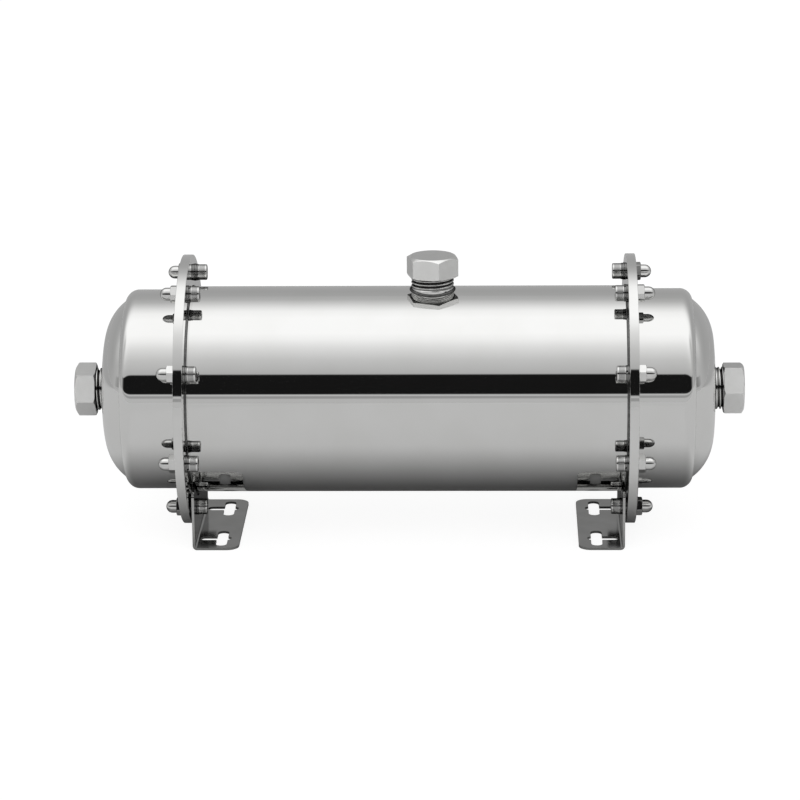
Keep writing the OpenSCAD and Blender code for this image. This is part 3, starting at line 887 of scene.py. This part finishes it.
round_tube, round_port = bead_angles(TUBE_R), bead_angles(THREAD_R)
for end, side in SIDES.items():
    flange = np.abs([corner[0] for corner in box_mm(f"{end}_tube_flange")]).min()
    cover = np.abs([corner[0] for corner in box_mm(f"{end}_cap_flange")]).max()
    cap_low, cap_high = box_mm(f"{end}_end_cap")
    nose = np.abs([cap_low[0], cap_high[0]]).max()
    skirt_r = (cap_high[1] - cap_low[1]) / 2
    for place, radius, height, size, angles in (
            ("tube", TUBE_R, flange, TUBE_BEAD, round_tube),
            ("cover", skirt_r, cover, COVER_BEAD, round_tube),
            ("port", THREAD_R, nose, PORT_BEAD, round_port)):
        net = bead_net(radius, height, size, angles)
        make_piece(f"{end}_{place}_weld", at_end(net, side)[None], "weld_steel", ring=True)

net = bead_net(THREAD_R, saddle(THREAD_R, TUBE_R, round_port), PRODUCT_BEAD, round_port)
net[..., 0] += PRODUCT_X
make_piece("product_port_weld", net[None], "weld_steel", ring=True)

# %% [markdown]
# A blanking cap is a hexagon turned down at both ends on a lathe: where the
# lathe's cone meets the flats it leaves the scalloped crescents that flash
# white in the photograph. For each angle the profile knows how far out the
# hexagon is, so the cone meets it at the right height by itself.

# %% blanking caps
CAP_FLATS = 23.0
CAP_CORNER = 0.45
CAP_H = 10.2
CAP_LID = 2.2
THREAD_PLAY = 0.05
CAP_BORE_R = THREAD_R + THREAD_PLAY
CAP_BORE_CHAMFER = 0.3
CAP_CHAMFER = 1.4
CAP_LEAD = 0.6
CONE = math.tan(math.radians(30))
CAP_TURNS = {"inlet": 15.0, "drain": 26.5, "product": 44.3}
LEAST_CHAMFER = 0.08


def hexagon_profile(radius, corner_r, height, top, bottom):
    """Corners of a chamfered hexagon's outside, from its upper face to its lower one.

    A cone of 30 degrees starts top below the upper face at the hexagon's
    corners, so nearer the axis it is higher by the difference times tan(30)."""
    upper_r = np.minimum(corner_r - top / CONE, radius - LEAST_CHAMFER)
    lower_r = np.minimum(corner_r - bottom / CONE, radius - LEAST_CHAMFER)
    return [(upper_r, np.full_like(radius, height)),
            (radius, height - (radius - upper_r) * CONE),
            (radius, (radius - lower_r) * CONE),
            (lower_r, np.zeros_like(radius))]


def as_profile(corners):
    """Stacks corners of (radius, height) as columns x corners x 2.

    Each radius or height is one number, or one for each angle."""
    width = max(np.size(value) for corner in corners for value in corner)
    return np.stack([np.stack([np.broadcast_to(value, width) for value in corner], axis=-1)
                     for corner in corners], axis=-2).astype(float)


def blanking_cap_net(turn):
    """A blanking cap's net and its masks, from the lid's middle over the outside to the inside.

    turn is how far the hexagon is turned, in degrees. Each of the seven rounded
    corners gives the profile six points. The bright cone runs from the first to
    the second, and what lies past the third, the lower cone, the rim and the
    bore, gets painted shade and a duller finish."""
    angles = hexagon_angles(CAP_FLATS, CAP_CORNER, corner_steps=5)
    radius = hexagon_radius(angles, CAP_FLATS, CAP_CORNER)
    corner_r = CAP_FLATS / 2 / math.cos(SIXTH / 2)
    inner = CAP_H - CAP_LID
    corners = ([(0.0, CAP_H)] + hexagon_profile(radius, corner_r, CAP_H, CAP_CHAMFER, CAP_LEAD)
               + [(CAP_BORE_R + CAP_BORE_CHAMFER, 0.0), (CAP_BORE_R, CAP_BORE_CHAMFER),
                  (CAP_BORE_R, inner), (0.0, inner)])
    radii = [0.25, 0.2, 0.1, 0.06, 0.05, 0.05, 0.4]
    profile = rounded(as_profile(corners), radii)
    place = np.arange(profile.shape[1])
    masks = {"turned": ((place > 3) & (place < 10)).astype(float)[:, None],
             "valley": (place > 15).astype(float)[:, None]}
    return spun(profile, angles + math.radians(turn)), masks


for end, side in SIDES.items():
    rim = np.abs([corner[0] for corner in box_mm(f"{end}_blanking_cap")]).min()
    net, masks = blanking_cap_net(CAP_TURNS[end])
    make_piece(f"{end}_hexagon_cap", at_end(net + (0, 0, rim), side)[None], "cap_steel",
               body=f"{end}_cap", replaces=f"{end}_blanking_cap", **masks)
net, masks = blanking_cap_net(CAP_TURNS["product"])
net += (PRODUCT_X, 0, box_mm("product_blanking_cap")[0][2])
make_piece("product_hexagon_cap", net[None], "cap_steel",
           body="product_cap", replaces="product_blanking_cap", **masks)

# %% [markdown]
# Eight socket screws clamp each pair of flanges. One fastener is made upright,
# with the axis of its screw on z, and whole arrays of sines and cosines then
# set eight of them round the flange. The two lowest screws also hold the foot,
# so their heads sit one sheet thickness further in.

# %% places round the flange
BOLTS = 8
BOLT_R = 58.7
FLANGE_T = 2.3
FLAT_T = 0.8
FOOT_T = 1.2
SPRING_T = 1.0
WASHER_Z = FACE - FLANGE_T - FLAT_T
HOLDS_FOOT = np.isin(np.arange(BOLTS), (0, BOLTS - 1))
SEATS = WASHER_Z - FOOT_T * HOLDS_FOOT


def round_the_flange(net, seats):
    """Sets a net at all eight screw places: moved out by the bolt radius, turned by
    half a step and then a step at a time, and raised to its seat."""
    turns = ((np.arange(BOLTS) + 0.5) * 2 * np.pi / BOLTS)[:, None, None]
    x, y, z = net[..., 0] + BOLT_R, net[..., 1], net[..., 2]
    heights = z + np.broadcast_to(seats, BOLTS)[:, None, None]
    return np.stack([np.cos(turns) * x - np.sin(turns) * y,
                     np.sin(turns) * x + np.cos(turns) * y, heights], axis=-1)


def shade_facing_in(net):
    """1 on the side of a fastener that faces the housing, where shade is painted into its colour.

    It is -1.8 - 3 cos(a), held between 0 and 1, where a is the angle round the
    fastener from the direction that points away from the housing."""
    radius = np.hypot(net[..., 0], net[..., 1])
    return np.clip(-1.8 - 3 * net[..., 0] / np.maximum(radius, 1e-6), 0, 1)


print("seats in mm:", np.round(SEATS, 2))

# %% [markdown]
# The heads are knurled, which is what breaks up their reflections. The knurl is
# straight: a wave round the head, cut inwards so that the head keeps its
# diameter. It fades out before the rounded edge.

# %% socket screws
SCREW_R = 2.5
SCREW_GRIP = 4.8
SCREW_LEN = SPRING_T + FLAT_T + 2 * FLANGE_T + SCREW_GRIP
HEAD_R = 3.9
HEAD_H = 4.3
SOCKET_FLATS = 4.0
SOCKET_CORNER = 0.15
SOCKET_BRIM = 0.1
SOCKET_DEEP = 2.6
TEETH = 36
TOOTH_DEPTH = 0.07
SOCKET_ROWS = 10
SOCKET_SHADE = 0.8


def screw_net():
    """A screw's net and its painted shade, in the socket and the knurl's roots: out of the socket,
    over the head and down the shank.

    Under the head z is 0, and the head stands below it. The knurl takes
    depth * (1 - cos(teeth * a)) / 2 from the head's radius, and the socket is
    the profile's first ten rows."""
    angles = once_round(TEETH * 4)
    socket = hexagon_radius(angles, SOCKET_FLATS, SOCKET_CORNER)
    brim = SOCKET_FLATS / 2 / math.cos(SIXTH / 2) + SOCKET_BRIM
    floor_z, top_z = SOCKET_DEEP - HEAD_H, -HEAD_H
    upper = rounded(as_profile([(0.0, floor_z), (socket, floor_z), (socket, top_z + 0.2),
                                (brim, top_z), (HEAD_R, top_z), (HEAD_R, top_z + 0.9)]),
                    [0.2, 0.05, 0.05, 0.55])
    band = as_profile([(HEAD_R, height) for height in (top_z + 1.0, -0.5, -0.4)])
    band = np.broadcast_to(band, (len(angles),) + band.shape[1:])
    lower = rounded(as_profile([(HEAD_R, -0.35), (HEAD_R, 0.0), (SCREW_R, 0.0),
                                (SCREW_R, SCREW_LEN), (0.0, SCREW_LEN)]), [0.15, 0.1, 0.4])
    lower = np.broadcast_to(lower, (len(angles),) + lower.shape[1:])
    profile = np.concatenate([upper, band, lower], axis=1)
    cut = np.zeros(profile.shape[:-1])
    cut[:, upper.shape[1]:upper.shape[1] + 2] = ((1 - np.cos(TEETH * angles)) / 2)[:, None]
    profile = profile - np.stack([cut * TOOTH_DEPTH, np.zeros_like(cut)], axis=-1)
    in_socket = np.arange(profile.shape[1]) < SOCKET_ROWS
    return spun(profile, angles), np.where(in_socket[:, None], SOCKET_SHADE, cut.T)


screw, screw_valley = screw_net()
# The side of each head that faces the housing gets painted shade as well
screw_valley = np.maximum(screw_valley, shade_facing_in(screw))
for end, side in SIDES.items():
    net = round_the_flange(screw, SEATS - SPRING_T)
    make_piece(f"{end}_knurled_screws", at_end(net, side), "screw_steel",
               replaces=f"{end}_flange_screws", valley=screw_valley)

# %% [markdown]
# Under each head lie a spring washer and a flat washer. A flat washer is a
# small rounded section carried once round. A spring washer is the same section
# carried almost round, and its two slanted ends are closed to a point in the
# middle of the section.

# %% washers
FLAT_R = 4.3
SPRING_R = 4.1
SCREW_PLAY = 0.05
WASHER_BORE_R = SCREW_R + SCREW_PLAY
SPLIT = 0.8


def washer_section(outer, thickness):
    """A washer's section with softened edges, as points x 2 of radius and height."""
    corners = [(WASHER_BORE_R, 0.0), (outer, 0.0), (outer, thickness), (WASHER_BORE_R, thickness)]
    return rounded(corners, [0.1, 0.18, 0.18, 0.1], closed=True)


def spring_net(rows=72):
    """A split washer: rows go round from one slanted end to the other.

    The split is a slot that leans by 30 degrees: a point at height z leaves it
    at y = half the split / cos(30) - z tan(30), so its angle is asin(y / r)."""
    section = washer_section(SPRING_R, SPRING_T)
    radius, height = section[:, 0], section[:, 1]
    half_split = SPLIT / 2 / math.cos(math.radians(30))
    start = np.arcsin((half_split - height * CONE) / radius)
    stop = 2 * np.pi + np.arcsin((-half_split - height * CONE) / radius)
    turn = start + (stop - start) * np.linspace(0, 1, rows)[:, None]
    ring = np.stack([radius * np.cos(turn), radius * np.sin(turn),
                     np.broadcast_to(height, turn.shape)], axis=-1)
    ends = ring[[0, -1]].mean(axis=1, keepdims=True)
    ends = np.broadcast_to(ends, (2,) + ring.shape[1:])
    return np.concatenate([ends[:1], ring, ends[1:]])


flat = spun(washer_section(FLAT_R, FLAT_T), once_round(48))
spring = spring_net()
for end, side in SIDES.items():
    make_piece(f"{end}_washer_discs", at_end(round_the_flange(flat, WASHER_Z), side),
               "washer_steel", replaces=f"{end}_flat_washers", ring=True, valley=shade_facing_in(flat))
    make_piece(f"{end}_split_washers", at_end(round_the_flange(spring, SEATS - SPRING_T), side),
               "washer_steel", replaces=f"{end}_spring_washers", valley=shade_facing_in(spring))

# %% [markdown]
# On the far side each screw ends in an acorn nut: a small hexagon with a
# bullet-shaped cap, polished, with painted shade and a duller finish on the side
# that faces the housing. The hexagon reuses the profile of the blanking caps
# with smaller numbers.

# %% acorn nuts
NUT_FLATS = 8.0
NUT_CORNER = 0.2
NUT_HEX_H = 3.5
NUT_H = 8.7
NUT_DOME_R = 3.2
NUT_CHAMFER = 0.35
NUT_BORE_TOP = SCREW_GRIP + 0.7


def acorn_nut_net():
    """An acorn nut's net, from the tip of its dome over the hexagon to its blind bore.

    The dome is a quarter of a circle of radius r: (r sin t, h - r + r cos t)."""
    angles = hexagon_angles(NUT_FLATS, NUT_CORNER, flat_steps=5, corner_steps=3)
    radius = hexagon_radius(angles, NUT_FLATS, NUT_CORNER)
    corner_r = NUT_FLATS / 2 / math.cos(SIXTH / 2)
    swing = np.linspace(0, np.pi / 2, 12)
    dome = np.stack([NUT_DOME_R * np.sin(swing), NUT_H - NUT_DOME_R * (1 - np.cos(swing))], axis=-1)
    dome = np.broadcast_to(dome, (len(angles),) + dome.shape)
    corners = ([(NUT_DOME_R, NUT_HEX_H + 1.0), (NUT_DOME_R, NUT_HEX_H)]
               + hexagon_profile(radius, corner_r, NUT_HEX_H, NUT_CHAMFER, NUT_CHAMFER)
               + [(WASHER_BORE_R + 0.2, 0.0), (WASHER_BORE_R, 0.2),
                  (WASHER_BORE_R, NUT_BORE_TOP), (0.0, NUT_BORE_TOP)])
    body = rounded(as_profile(corners), [0.15, 0.03, 0.08, 0.08, 0.03, 0.04, 0.04, 0.3])
    return spun(np.concatenate([dome, body], axis=1), angles)


nut = acorn_nut_net()
for end, side in SIDES.items():
    net = round_the_flange(nut, FACE + FLANGE_T)
    make_piece(f"{end}_domed_nuts", at_end(net, side), "nut_steel",
               replaces=f"{end}_acorn_nuts", valley=shade_facing_in(nut))
